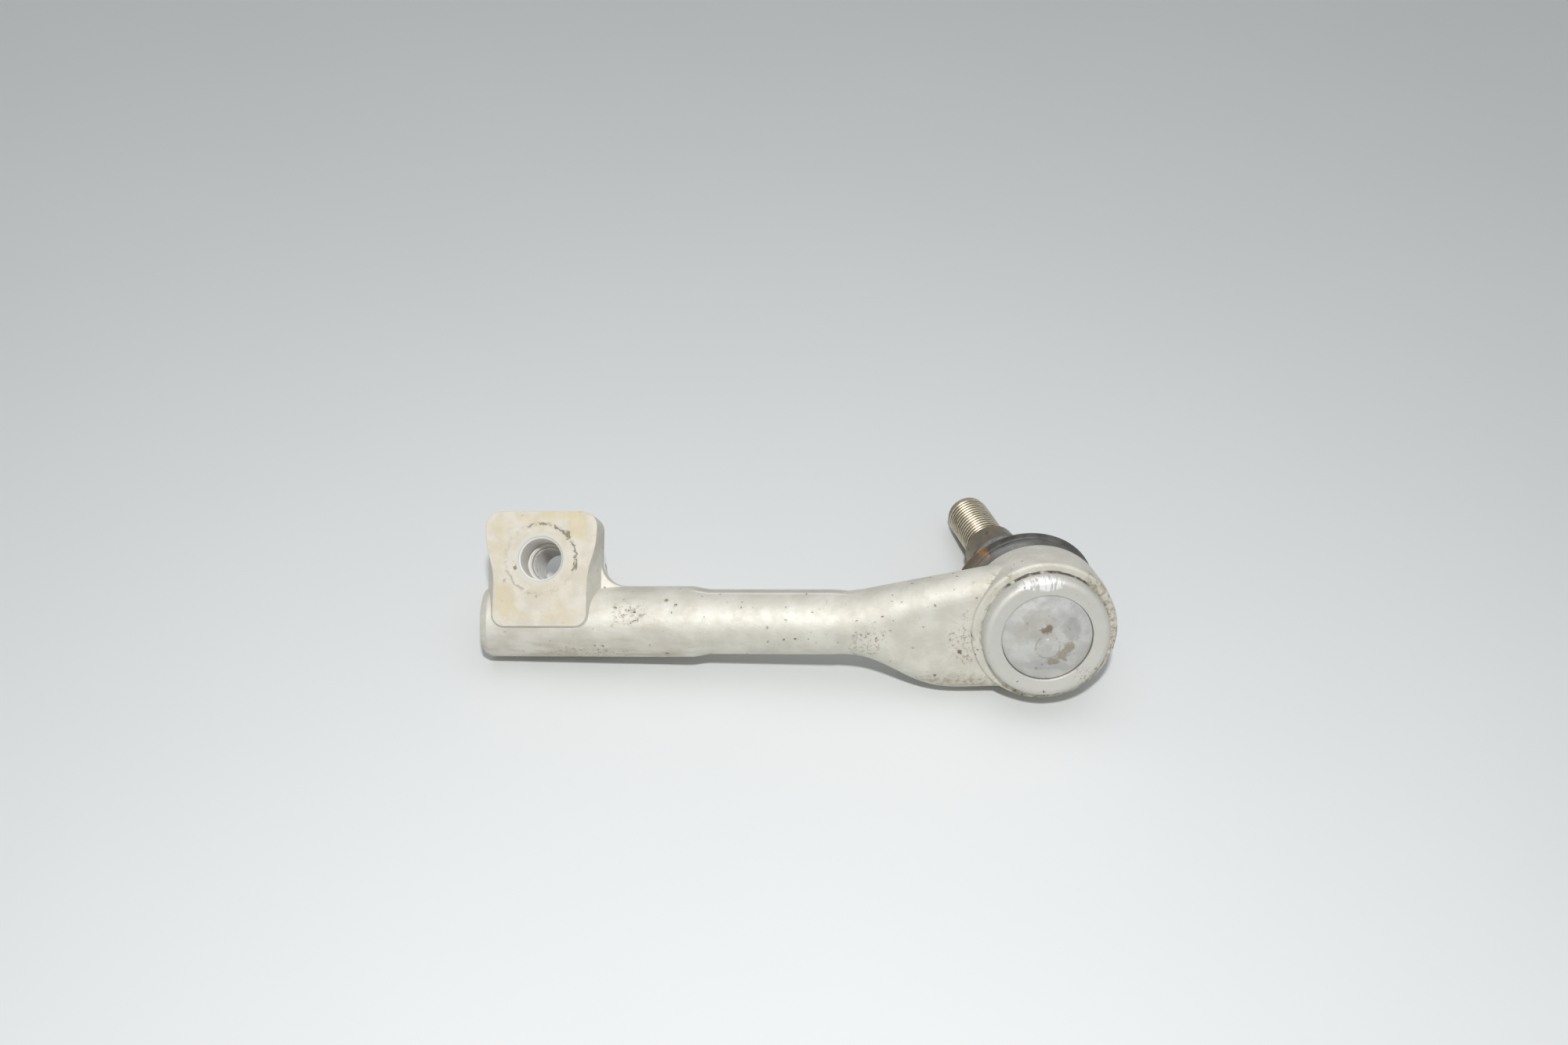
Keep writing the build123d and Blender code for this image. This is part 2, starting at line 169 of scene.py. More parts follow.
def noise(tree, vector, scale, detail=3, roughness=0.55, stretch=None):
    """Noise with the given detail, its grain stretched along the axes where that is asked for."""
    if stretch:
        vector = add(tree, "VectorMath", vector, stretch, operation="MULTIPLY").outputs[0]
    made = add(tree, "TexNoise", vector)
    made.inputs["Scale"].default_value = scale
    made.inputs["Detail"].default_value = detail
    made.inputs["Roughness"].default_value = roughness
    return made.outputs["Fac"]


def blotches(tree, vector, scale, detail, roughness, low, high):
    """Mask of the parts of a noise between low and high."""
    return rise(tree, noise(tree, vector, scale, detail, roughness), low, high)


def group_of(name, sockets):
    """New shader node group with a vector, its other inputs and one mask as its output."""
    tree = bpy.data.node_groups.new(name, "ShaderNodeTree")
    for title, kind, value in (("Vector", "Vector", (0, 0, 0)), *sockets):
        made = tree.interface.new_socket(title, in_out="INPUT", socket_type="NodeSocket" + kind)
        made.default_value = value
    tree.interface.new_socket("Mask", in_out="OUTPUT", socket_type="NodeSocketFloat")
    return tree, tree.nodes.new("NodeGroupInput").outputs, tree.nodes.new("NodeGroupOutput").inputs


def use(tree, group, vector, **values):
    """Mask that a group gives with these values."""
    made = tree.nodes.new("ShaderNodeGroup")
    made.node_tree = group
    tree.links.new(vector, made.inputs["Vector"])
    for name, value in values.items():
        if isinstance(value, bpy.types.NodeSocket):
            tree.links.new(value, made.inputs[name])
        else:
            made.inputs[name].default_value = value
    return made.outputs[0]


# Pits and specks: a share of the cells of a scattered pattern holds one ragged dark spot each
pits, given, out = group_of("pits", (
    ("Spacing", "Float", 1.5), ("Size", "Float", 0.3), ("Share", "Float", 0.3),
))
wobble = add(pits, "TexNoise", given["Vector"])
wobble.inputs["Scale"].default_value = 3.2
wobble.inputs["Detail"].default_value = 3
shift = add(pits, "VectorMath", wobble.outputs["Color"], (-0.5, -0.5, -0.5), operation="ADD").outputs[0]
shift = add(pits, "VectorMath", shift, (1.7, 1.7, 1.7), operation="MULTIPLY").outputs[0]
shift = add(pits, "VectorMath", given["Vector"], shift, operation="ADD").outputs[0]
cells = add(pits, "TexVoronoi", shift)
pits.links.new(calc(pits, "DIVIDE", 1, given["Spacing"]), cells.inputs["Scale"])
chance = parts_of(pits, cells.outputs["Color"])
reach = calc(pits, "DIVIDE", given["Size"], given["Spacing"])
reach = product(pits, reach, calc(pits, "MULTIPLY_ADD", chance[1], 1.1, 0.25))
depth = calc(pits, "SUBTRACT", 1.35, calc(pits, "DIVIDE", cells.outputs["Distance"], reach))
chosen = calc(pits, "LESS_THAN", chance[0], given["Share"])
pits.links.new(product(pits, rise(pits, depth, 0, 0.6), chosen), out["Mask"])

# Patch: one ragged stain or mark, given its centre and its reach along the three axes
patch, given, out = group_of("patch", (
    ("Centre", "Vector", (0, 0, 0)), ("Reach", "Vector", (1, 1, 1)),
    ("Raggedness", "Float", 0.6), ("Grain", "Float", 0.5),
))
away = add(patch, "VectorMath", given["Vector"], given["Centre"], operation="SUBTRACT").outputs[0]
away = add(patch, "VectorMath", away, given["Reach"], operation="DIVIDE").outputs[0]
away = add(patch, "VectorMath", away, operation="LENGTH").outputs["Value"]
broken = add(patch, "TexNoise", given["Vector"])
patch.links.new(given["Grain"], broken.inputs["Scale"])
broken.inputs["Detail"].default_value = 4
broken = product(patch, calc(patch, "SUBTRACT", broken.outputs["Fac"], 0.5), 3, given["Raggedness"])
patch.links.new(rise(patch, calc(patch, "ADD", away, broken), 1.1, 0.6), out["Mask"])

# Mottle: slow cloudy change with a finer grain over it
mottle, given, out = group_of("mottle", (("Size", "Float", 6.0),))
cloud = add(mottle, "TexNoise", given["Vector"])
mottle.links.new(calc(mottle, "DIVIDE", 1, given["Size"]), cloud.inputs["Scale"])
cloud.inputs["Detail"].default_value = 5
cloud.inputs["Roughness"].default_value = 0.62
mottle.links.new(rise(mottle, cloud.outputs["Fac"], 0.34, 0.66), out["Mask"])


def patches(tree, places, raggedness, grain):
    """Strongest of several ragged patches, each given by its axes, centre and reach."""
    return strongest(tree, *(
        use(tree, patch, axes, Centre=centre, Reach=reach, Raggedness=raggedness, Grain=grain)
        for axes, centre, reach in places
    ))


def new_finish(name, metallic):
    """New material with its Principled shader."""
    made = bpy.data.materials.new(name)
    made.use_nodes = True
    shader = made.node_tree.nodes["Principled BSDF"]
    shader.inputs["Metallic"].default_value = metallic
    return made, made.node_tree, shader


def relief(tree, shader, height, strength, distance, normal=None):
    """Small relief from a height mask, distance in millimetres."""
    made = add(tree, "Bump")
    made.inputs["Strength"].default_value = strength
    made.inputs["Distance"].default_value = distance * MM
    tree.links.new(height, made.inputs["Height"])
    if normal:
        tree.links.new(normal, made.inputs["Normal"])
    tree.links.new(made.outputs[0], shader.inputs["Normal"])


def soft_edges(tree, radius):
    """Normal with rounded edges, and the mask of the outward and inward edges that it rounds."""
    made = add(tree, "Bevel", samples=6)
    made.inputs["Radius"].default_value = radius * MM
    flat = add(tree, "NewGeometry").outputs["Normal"]
    same = add(tree, "VectorMath", made.outputs[0], flat, operation="DOT_PRODUCT").outputs["Value"]
    return made.outputs[0], rise(tree, same, 0.985, 0.86)


def finish_node(name, finish):
    """Gives a CAD node its one finish."""
    piece = frame["nodes"][name]
    piece.data.materials.clear()
    piece.data.materials.append(finish)


forging, tree, shader = new_finish("forging", 0.5)
rod = on_axes(tree, rod_place)
bolt = on_axes(tree, bolt_place)
joint = on_axes(tree, joint_place)
rod_x, rod_y, rod_z = parts_of(tree, rod)
bolt_x, bolt_y, bolt_z = parts_of(tree, bolt)
joint_x, joint_y, joint_z = parts_of(tree, joint)
from_joint = from_axis(tree, joint_x, joint_y)
from_bolt = from_axis(tree, bolt_x, bolt_y)
edge_normal, edges = soft_edges(tree, 0.5)

# Blasted skin, cloudier and browner towards the clamp's underside
champagne, pale_champagne = (0.60, 0.575, 0.50), (0.69, 0.67, 0.60)
colour = tint(tree, use(tree, mottle, rod, Size=9.0), champagne, pale_champagne)
streaks = rise(tree, noise(tree, rod, 0.35, 4, 0.6, stretch=(0.25, 1, 1)), 0.42, 0.66)
clamp_end = rise(tree, rod_x, -92, -112)
low_side = rise(tree, rod_y, 2, -8)
brown = product(tree, streaks, clamp_end, calc(tree, "MULTIPLY_ADD", low_side, 0.25, 0.12))
colour = tint(tree, brown, colour, (0.36, 0.29, 0.18))

# Parting line along the shank's far side, painted as a bright highlight line, and painted shade on the strip below
# it where the surface turns away
on_line = product(tree, rise(tree, rod_y, 5, 7), band(tree, rod_x, -106, -102, -62, -54))
parting_line_highlight = product(tree, on_line, band(tree, rod_z, 0.8, 1.1, 1.6, 1.9))
colour = layer(tree, colour, parting_line_highlight, 0.6, (0.86, 0.85, 0.80))
far_side_painted_shade = product(tree, on_line, band(tree, rod_z, -1.6, -1.2, 0.4, 0.8))
colour = layer(tree, colour, far_side_painted_shade, 0.45, (0.40, 0.38, 0.32))

# Rolled rim of the housing: smoother and greyer, with a dark crack round its foot and tool marks
collar_top = 7.2
rim_radius = 18.9
on_rim = product(
    tree,
    rise(tree, joint_z, collar_top + 0.1, collar_top + 0.5),
    rise(tree, from_joint, rim_radius + 0.7, rim_radius + 0.4),
)
colour = layer(tree, colour, on_rim, 0.8, (0.58, 0.575, 0.53))
crack_wander = calc(tree, "MULTIPLY_ADD", noise(tree, joint, 0.5, 4, 0.65), 0.9, -0.45)
crack_at = calc(tree, "ADD", from_joint, crack_wander)
crack = product(
    tree,
    rise(tree, joint_z, collar_top + 1.0, collar_top + 0.5),
    band(tree, crack_at, rim_radius - 0.2, rim_radius - 0.05, rim_radius + 0.3, rim_radius + 0.55),
)
open_crack = product(tree, rise(tree, joint_y, 13.0, 15.6), blotches(tree, joint, 0.6, 4, 0.7, 0.36, 0.5))
fine_crack = product(tree, blotches(tree, joint, 0.22, 5, 0.7, 0.40, 0.56), 0.45)
crack = product(tree, crack, strongest(tree, open_crack, fine_crack))
tool_marks = patches(tree, ((joint, (-2.2, 17.0, 11), (7.2, 2.3, 3)),), 0.25, 0.6)
scores = rise(tree, noise(tree, joint, 1.0, 2, 0.5, stretch=(1.5, 0.2, 0.2)), 0.38, 0.5)
tool_marks = product(tree, tool_marks, scores)
colour = layer(tree, colour, tool_marks, 0.95, (0.93, 0.92, 0.89))

# Lug face: milled flat, with a pale film left on it and ochre stains towards its corners
face_height = 2 * bore_middle
lug_reach = 26.0
on_face = product(
    tree,
    rise(tree, bolt_z, face_height - 0.15, face_height - 0.05),
    rise(tree, bolt_x, lug_reach + 4, lug_reach),
)
face_colour = tint(tree, use(tree, mottle, bolt, Size=5.0), (0.63, 0.580, 0.482), (0.71, 0.665, 0.575))
for centre, reach, strength in (
    ((-1.0, 12.0, 12), (8.0, 3.2, 2), 0.35),
    ((11.0, 10.0, 12), (4.0, 5.0, 2), 0.6),
    ((7.0, 13.5, 12), (5.0, 2.0, 2), 0.45),
    ((-12.5, 9.5, 12), (3.6, 4.6, 2), 0.4),
    ((-10.5, -13.0, 12), (3.4, 5.4, 2), 0.55),
    ((-8.0, -16.5, 12), (4.4, 2.2, 2), 0.4),
    ((7.0, -16.5, 12), (7.0, 2.6, 2), 0.35),
    ((3.0, -10.0, 12), (6.0, 4.0, 2), 0.15),
    ((-13.0, 2.0, 12), (2.6, 6.0, 2), 0.3),
):
    stain = patches(tree, ((bolt, centre, reach),), 0.75, 0.22)
    stain = product(tree, stain, noise(tree, bolt, 0.5, 4, 0.6))
    face_colour = layer(tree, face_colour, stain, strength * 1.7, (0.66, 0.565, 0.345))

# The washer's print round the bore: a bare ring, a brown edge and the chips along it
bolt_bore_radius = mounts["clamp_bolt_bore"]["dims"]["r_mm"]
washer_radius = 10.5
bare_ring = rise(tree, from_bolt, bolt_bore_radius + 2.2, bolt_bore_radius + 1.0)
face_colour = layer(tree, face_colour, bare_ring, 0.7, (0.66, 0.645, 0.58))
print_edge = product(
    tree,
    rise(tree, from_bolt, washer_radius - 0.9, washer_radius - 0.3),
    rise(tree, from_bolt, washer_radius + 1.1, washer_radius + 0.3),
    blotches(tree, bolt, 0.9, 4, 0.7, 0.42, 0.6),
)
face_colour = layer(tree, face_colour, print_edge, 0.35, (0.42, 0.38, 0.28))
around = calc(tree, "ARCTAN2", bolt_y, bolt_x)
wander = calc(tree, "MULTIPLY_ADD", noise(tree, bolt, 0.45, 4, 0.65), 3.0, -1.5)
arc_at = calc(tree, "ADD", from_bolt, wander)
arc = band(tree, arc_at, washer_radius - 0.3, washer_radius - 0.1, washer_radius + 0.2, washer_radius + 0.4)
upper_right = band(tree, around, -0.42, -0.3, 1.9, 2.05)
lower_left = band(tree, around, -2.9, -2.8, -1.9, -1.7)
chipped = strongest(tree, upper_right, product(tree, lower_left, 0.4))
chips = product(tree, arc, blotches(tree, bolt, 0.3, 4, 0.6, 0.45, 0.5), chipped)
dents = patches(tree, (
    (bolt, (8.0, 7.2, 12), (0.9, 1.3, 2)),
    (bolt, (10.8, -1.6, 12), (0.35, 1.9, 2)),
    (bolt, (-7.6, -2.8, 12), (0.4, 1.1, 2)),
), 1.0, 0.9)
off_bore = rise(tree, from_bolt, bolt_bore_radius + 0.8, bolt_bore_radius + 1.4)
chips = product(tree, strongest(tree, chips, dents), off_bore)
face_colour = layer(tree, face_colour, chips, 0.85, (0.22, 0.19, 0.14))
colour = tint(tree, on_face, colour, face_colour)

# Grime along the collar, then pits: thin all over, thick in the places where dirt gathers
dirt = patches(tree, (
    (rod, (-23.5, -4.0, 8.0), (4.5, 9.0, 4)),
    (rod, (-52.5, -2.0, 8.0), (6.5, 5.5, 4)),
    (rod, (-54.0, -9.0, 5.0), (4.0, 2.5, 4)),
    (rod, (-123.0, 6.5, 8.5), (6.0, 4.5, 4)),
    (rod, (-137.0, -7.0, 7.0), (12.0, 4.5, 6)),
    (joint, (20.0, 3.0, 7.0), (2.8, 11.0, 5)),
    (joint, (13.0, -12.0, 10.0), (5.5, 4.5, 4)),
    (joint, (-2.0, -20.0, 7.0), (11.0, 3.0, 4)),
    (joint, (14.0, 13.5, 8.0), (4.0, 4.0, 3)),
    (rod, (-8.0, 15.0, 5.0), (9.0, 4.0, 4)),
), 0.5, 0.25)
grime = strongest(tree, rise(tree, joint_x, 9, 15), rise(tree, joint_y, -12, -17))
grime = product(
    tree,
    grime,
    rise(tree, from_joint, rim_radius - 0.7, rim_radius + 0.3),
    rise(tree, joint_z, 2, 5),
    blotches(tree, joint, 0.55, 5, 0.7, 0.44, 0.6),
)
colour = layer(tree, colour, grime, 0.65, (0.33, 0.27, 0.16))
fine_share = calc(tree, "MULTIPLY_ADD", dirt, 0.18, 0.05)
coarse_share = calc(tree, "MULTIPLY_ADD", dirt, 0.40, 0.13)
fine_pits = use(tree, pits, rod, Spacing=1.1, Size=0.24, Share=fine_share)
coarse_pits = use(tree, pits, rod, Spacing=3.2, Size=0.46, Share=coarse_share)
pitted = strongest(tree, fine_pits, coarse_pits)
pitted = product(tree, pitted, calc(tree, "MULTIPLY_ADD", on_face, -0.65, 1))
smears = product(tree, dirt, blotches(tree, rod, 0.8, 7, 0.8, 0.50, 0.62))
colour = layer(tree, colour, smears, 0.75, (0.32, 0.26, 0.16))
colour = layer(tree, colour, pitted, 0.85, (0.10, 0.075, 0.045))

# Bare bright edges, the crack, and the clamp bolt's machined holes in the lug and in the far ear. The holes are
# painted near white: partly bare machined alloy, partly painted light on their deep walls
ear_length = 22.6
bright = product(tree, edges, blotches(tree, rod, 0.5, 4, 0.6, 0.38, 0.6))
colour = layer(tree, colour, bright, 0.55, (0.80, 0.78, 0.72))
colour = layer(tree, colour, crack, 0.9, (0.06, 0.045, 0.03))
bore_bare_and_painted_light = product(
    tree,
    rise(tree, from_bolt, bolt_bore_radius + 0.55, bolt_bore_radius + 0.2),
    band(tree, bolt_z, 0.4 - ear_length, 0.8 - ear_length, face_height - 0.1, face_height + 0.2),
)
colour = tint(tree, bore_bare_and_painted_light, colour, (0.88, 0.86, 0.81))
tree.links.new(colour, shader.inputs["Base Color"])

# Gloss: rough as blasted, duller on the face, the neck and in the dirt, smoother on the rim
on_neck = product(tree, rise(tree, rod_x, -58, -42), rise(tree, rod_z, -2, 3))
on_neck = product(tree, on_neck, calc(tree, "SUBTRACT", 1, on_rim))
roughness = calc(tree, "MULTIPLY_ADD", noise(tree, rod, 0.4, 4, 0.6), 0.28, 0.50)
for mask, change in (
    (on_neck, 0.07), (on_face, 0.22), (strongest(tree, pitted, smears), 0.25), (on_rim, -0.08),
):
    roughness = calc(tree, "MULTIPLY_ADD", mask, change, roughness)
tree.links.new(roughness, shader.inputs["Roughness"])
dull = strongest(tree, on_face, pitted, crack, bore_bare_and_painted_light)
tree.links.new(calc(tree, "MULTIPLY_ADD", dull, -0.42, 0.5), shader.inputs["Metallic"])

# Relief: fine blasting over slow waves, with the pits, chips and marks sunk into it
waves = product(tree, noise(tree, rod, 0.22, 3, 0.5), 1.2)
skin = calc(tree, "MULTIPLY_ADD", noise(tree, rod, 1.6, 4, 0.6), 0.5, waves)
skin = calc(tree, "MULTIPLY_ADD", strongest(tree, pitted, chips, crack, tool_marks), -1.2, skin)
relief(tree, shader, skin, 0.6, 0.25, edge_normal)
finish_node("forged_body", forging)


# Threads cut in the forging
# The clamp bolt's thread in the far ear and the inner rod's in the socket, both of 1.5 mm pitch. Each
# is the crest of one helical ridge, standing on the drawn pitch cylinder.

thread_pitch = 1.5
crest_height = 0.45


def helix(name, axes, radius, crest, start, end):
    """Thread ridge round a piece's own Z on a cylinder of that radius, all in millimetres."""
    foot_share, crest_share = 0.47, 0.09
    foot_sink, run_out_sink = 0.15, 0.2
    run_out = 0.7 * thread_pitch
    steps_per_turn = 40
    out_way = 1 if crest > radius else -1
    foot = radius - foot_sink * out_way
    outline = ((foot, -foot_share), (crest, -crest_share), (crest, crest_share), (foot, foot_share))
    turns = (end - start) / thread_pitch

    bpy.ops.object.select_all(action="DESELECT")
    bpy.ops.mesh.primitive_circle_add(vertices=4, radius=1, fill_type="NOTHING", location=(0, 0, 0))
    piece = bpy.context.object
    for vertex, (r, share) in zip(piece.data.vertices, outline):
        vertex.co = Vector((r, 0, start + share * thread_pitch)) * MM
    screw = piece.modifiers.new("turns", "SCREW")
    screw.axis = "Z"
    screw.angle = turns * math.tau
    screw.screw_offset = (end - start) * MM
    screw.steps = screw.render_steps = int(turns * steps_per_turn)
    screw.use_normal_calculate = True
    bpy.ops.object.modifier_apply(modifier=screw.name)

    # Both ends closed, and every face turned outwards
    bpy.ops.object.mode_set(mode="EDIT")
    bpy.ops.mesh.select_all(action="SELECT")
    bpy.ops.mesh.remove_doubles(threshold=1e-6)
    bpy.ops.mesh.select_all(action="DESELECT")
    bpy.ops.mesh.select_non_manifold()
    bpy.ops.mesh.edge_face_add()
    bpy.ops.mesh.select_all(action="SELECT")
    bpy.ops.mesh.normals_make_consistent(inside=False)
    bpy.ops.object.mode_set(mode="OBJECT")

    # Ridge runs out into the cylinder at both ends
    for vertex in piece.data.vertices:
        r = math.hypot(vertex.co.x, vertex.co.y) / MM
        to_end = min(vertex.co.z / MM - start, end - vertex.co.z / MM) / run_out
        share = min(max(to_end, 0), 1)
        scale = (foot + (r - foot) * share - (1 - share) * run_out_sink * out_way) / r
        vertex.co.x *= scale
        vertex.co.y *= scale
    piece.data.transform(axes)
    piece.name = piece.data.name = name
    bpy.ops.object.shade_smooth_by_angle(angle=math.radians(40))
    return piece


cut_thread, tree, shader = new_finish("cut_thread", 0.25)
bolt = on_axes(tree, bolt_place)
from_bolt = from_axis(tree, *parts_of(tree, bolt)[:2])
ear_thread_radius = mounts["clamp_bolt_thread"]["dims"]["r_mm"]
# Painted shade darkening the thread's roots
bolt_root_painted_shade = product(
    tree,
    rise(tree, from_bolt, ear_thread_radius - 0.38, ear_thread_radius - 0.15),
    rise(tree, from_bolt, ear_thread_radius + 0.5, ear_thread_radius + 0.3),
)
specks = use(tree, pits, bolt, Spacing=1.2, Size=0.3, Share=0.3)
# Near-white base: partly bare machined alloy, partly painted light standing for the flash on the deep thread
colour = tint(tree, use(tree, mottle, bolt, Size=2.5), (0.84, 0.83, 0.80), (0.94, 0.93, 0.91))
colour = layer(tree, colour, bolt_root_painted_shade, 0.7, (0.34, 0.32, 0.28))
colour = layer(tree, colour, specks, 0.6, (0.16, 0.12, 0.08))
tree.links.new(colour, shader.inputs["Base Color"])
tree.links.new(calc(tree, "MULTIPLY_ADD", noise(tree, bolt, 1.0), 0.2, 0.22), shader.inputs["Roughness"])
relief(tree, shader, noise(tree, bolt, 3.0), 0.3, 0.05)

socket_radius = mounts["rod_socket"]["dims"]["r_mm"]
socket_half = mounts["rod_socket"]["dims"]["length_mm"] / 2
socket_mouth = Vector(mounts["rod_socket"]["pos_m"]) - socket_half * MM * rod_way
socket_place = place(socket_mouth, rod_up.cross(rod_way), rod_up, rod_way)
bolt_thread = helix(
    "bolt_thread_form", bolt_place,
    radius=ear_thread_radius, crest=ear_thread_radius - crest_height, start=0.8 - ear_length, end=-1.6,
)
socket_thread = helix(
    "socket_thread_form", socket_place,
    radius=socket_radius, crest=socket_radius - crest_height, start=0.8, end=55.0,
)
for piece in (bolt_thread, socket_thread):
    piece.data.materials.append(cut_thread)
    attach(piece, "rod")


# Bearing seat
# Moulded cup of cream plastic that grips the ball, pushed into the housing before the rim is rolled.
# It is seen only through the flared mouth, with grease on it.

seat_finish, tree, shader = new_finish("moulded_seat", 0)
joint = on_axes(tree, joint_place)
grease = blotches(tree, joint, 0.5, 4, 0.55, 0.5, 0.7)
colour = tint(tree, use(tree, mottle, joint, Size=4.0), (0.66, 0.60, 0.46), (0.78, 0.74, 0.62))
colour = tint(tree, grease, colour, (0.42, 0.30, 0.12))
tree.links.new(colour, shader.inputs["Base Color"])
tree.links.new(calc(tree, "MULTIPLY_ADD", noise(tree, joint, 0.8), 0.3, 0.3), shader.inputs["Roughness"])
relief(tree, shader, noise(tree, joint, 1.2), 0.3, 0.1)
finish_node("bearing_seat", seat_finish)


# Ball stud
# Turned steel stud: polished ball, waisted neck, 1 in 10 taper and a rolled thread. The ball is
# greased, the neck and taper are stained brown, and the thread's crests still shine brassy.

stud_way = Vector(joints["stud_spin"]["axis"])
tilt_way = Vector(joints["stud_swing"]["axis"])
stud_place = place(ball_centre, tilt_way, stud_way.cross(tilt_way), stud_way)

stud_steel, tree, shader = new_finish("stud_steel", 0.9)
stud = on_axes(tree, stud_place)
along = parts_of(tree, stud)[2]
ball_radius = 12.0
shoulder_at = 44.0
thread_end = 68.7
polished = rise(tree, along, ball_radius, ball_radius - 3)
stained = band(tree, along, ball_radius + 1, ball_radius + 5, shoulder_at - 0.5, shoulder_at + 2.5)
rusty = blotches(tree, stud, 0.5, 5, 0.65, 0.46, 0.62)
rusty = product(tree, rusty, rise(tree, along, shoulder_at + 2.5, shoulder_at - 2))
specks = use(tree, pits, stud, Spacing=1.6, Size=0.5, Share=0.35)
tip = rise(tree, along, thread_end - 0.5, thread_end + 0.5)
colour = tint(tree, use(tree, mottle, stud, Size=4.0), (0.30, 0.27, 0.20), (0.48, 0.44, 0.34))
colour = layer(tree, colour, stained, 0.85, (0.17, 0.145, 0.105))
colour = layer(tree, colour, specks, 0.7, (0.07, 0.05, 0.03))
colour = layer(tree, colour, rusty, 0.6, (0.27, 0.19, 0.11))
colour = tint(tree, polished, colour, (0.56, 0.56, 0.55))
colour = layer(tree, colour, tip, 0.7, (0.12, 0.09, 0.05))
tree.links.new(colour, shader.inputs["Base Color"])
roughness = calc(tree, "MULTIPLY_ADD", noise(tree, stud, 0.7, 4), 0.3, 0.22)
tree.links.new(calc(tree, "MULTIPLY_ADD", polished, -0.15, roughness), shader.inputs["Roughness"])
turned = noise(tree, stud, 1.0, 3, 0.5, stretch=(0.05, 0.05, 5))
relief(tree, shader, turned, 0.35, 0.06)
finish_node("ball_stud", stud_steel)

# Rolled thread: brassy crests, with painted shade darkening the roots between them
thread_steel, tree, shader = new_finish("thread_steel", 0.95)
stud = on_axes(tree, stud_place)
stud_thread_radius = mounts["stud_thread"]["dims"]["r_mm"]
from_stud = from_axis(tree, *parts_of(tree, stud)[:2])
stud_root_painted_shade = rise(tree, from_stud, stud_thread_radius + 0.4, stud_thread_radius + 0.1)
grime = blotches(tree, stud, 0.35, 4, 0.55, 0.5, 0.68)
colour = tint(tree, use(tree, mottle, stud, Size=3.0), (0.60, 0.545, 0.41), (0.72, 0.68, 0.56))
colour = tint(tree, stud_root_painted_shade, colour, (0.10, 0.070, 0.03))
colour = layer(tree, colour, grime, 0.6, (0.24, 0.18, 0.09))
tree.links.new(colour, shader.inputs["Base Color"])
tree.links.new(calc(tree, "MULTIPLY_ADD", noise(tree, stud, 0.9), 0.25, 0.2), shader.inputs["Roughness"])
relief(tree, shader, noise(tree, stud, 2.5), 0.3, 0.05)
stud_thread = helix(
    "stud_thread_form", stud_place,
    radius=stud_thread_radius, crest=stud_thread_radius + crest_height, start=44.6, end=67.4,
)
stud_thread.data.materials.append(thread_steel)
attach(stud_thread, "stud")


# Closing plate
# Pressed steel disc with a shallow dome, dropped on the bearing's ledge and held by the rolled rim.
# Grey plated steel, clouded brown, with one rust spot at its middle and a smear beside it. Its right and lower
# side carry painted shade of the dome.

plate_steel, tree, shader = new_finish("plate_steel", 0.85)
joint = on_axes(tree, joint_place)
plate_x, plate_y = parts_of(tree, joint)[:2]
colour = tint(tree, use(tree, mottle, joint, Size=4.5), (0.61, 0.60, 0.56), (0.75, 0.74, 0.70))
brown_cloud = patches(tree, ((joint, (-4.5, 3.5, 11.5), (8.0, 6.0, 4)),), 0.9, 0.3)
colour = layer(tree, colour, brown_cloud, 0.35, (0.52, 0.46, 0.36))
# Painted shade: darker grey clouds right of and below the middle, for the dome's shaded side
for centre, reach in (
    ((7.6, 2.4, 11.5), (3.0, 4.0, 4)),
    ((-3.5, -8.6, 11.5), (5.0, 2.0, 4)),
    ((3.6, -9.4, 11.5), (4.0, 1.6, 4)),
):
    dome_painted_shade_cloud = patches(tree, ((joint, centre, reach),), 0.7, 0.3)
    colour = layer(tree, colour, dome_painted_shade_cloud, 0.45, (0.38, 0.38, 0.37))
# Painted shade: the plate darkens towards its lower edge, for the dome's shaded side
dome_painted_shade = rise(tree, calc(tree, "MULTIPLY_ADD", noise(tree, joint, 0.3, 4), 6, plate_y), 7, -7)
colour = layer(tree, colour, dome_painted_shade, 0.4, (0.40, 0.40, 0.385))
smear = patches(tree, (
    (joint, (1.8, -7.6, 11.5), (2.6, 1.3, 4)),
    (joint, (4.4, -5.6, 11.5), (2.4, 1.9, 4)),
    (joint, (6.6, -3.4, 11.5), (1.5, 2.4, 4)),
), 0.9, 0.5)
colour = layer(tree, colour, smear, 0.6, (0.30, 0.235, 0.15))

# Faint ring pressed below the middle, the rust spot, specks and the dark seam under the rim
ring_x, ring_y, ring_radius = 0.1, -2.7, 3.6
across_ring = calc(tree, "SUBTRACT", plate_x, ring_x)
up_ring = calc(tree, "SUBTRACT", plate_y, ring_y)
from_ring = from_axis(tree, across_ring, up_ring)
ring = band(tree, from_ring, ring_radius - 0.4, ring_radius - 0.15, ring_radius + 0.1, ring_radius + 0.35)
ring = product(tree, ring, blotches(tree, joint, 0.35, 4, 0.65, 0.40, 0.52))
colour = layer(tree, colour, ring, 0.4, (0.28, 0.25, 0.20))
spot = patches(tree, ((joint, (-0.2, 3.0, 12), (1.7, 1.5, 4)),), 0.7, 0.6)
colour = layer(tree, colour, spot, 0.85, (0.22, 0.165, 0.12))
specks = use(tree, pits, joint, Spacing=1.6, Size=0.25, Share=0.2)
colour = layer(tree, colour, specks, 0.7, (0.15, 0.11, 0.07))
seam_radius = 13.5
seam = rise(tree, from_axis(tree, plate_x, plate_y), seam_radius - 0.4, seam_radius)
colour = layer(tree, colour, seam, 0.9, (0.05, 0.04, 0.03))
tree.links.new(colour, shader.inputs["Base Color"])
roughness = calc(tree, "MULTIPLY_ADD", noise(tree, joint, 0.5, 4), 0.26, 0.24)
roughness = calc(tree, "MULTIPLY_ADD", strongest(tree, smear, spot), 0.3, roughness)
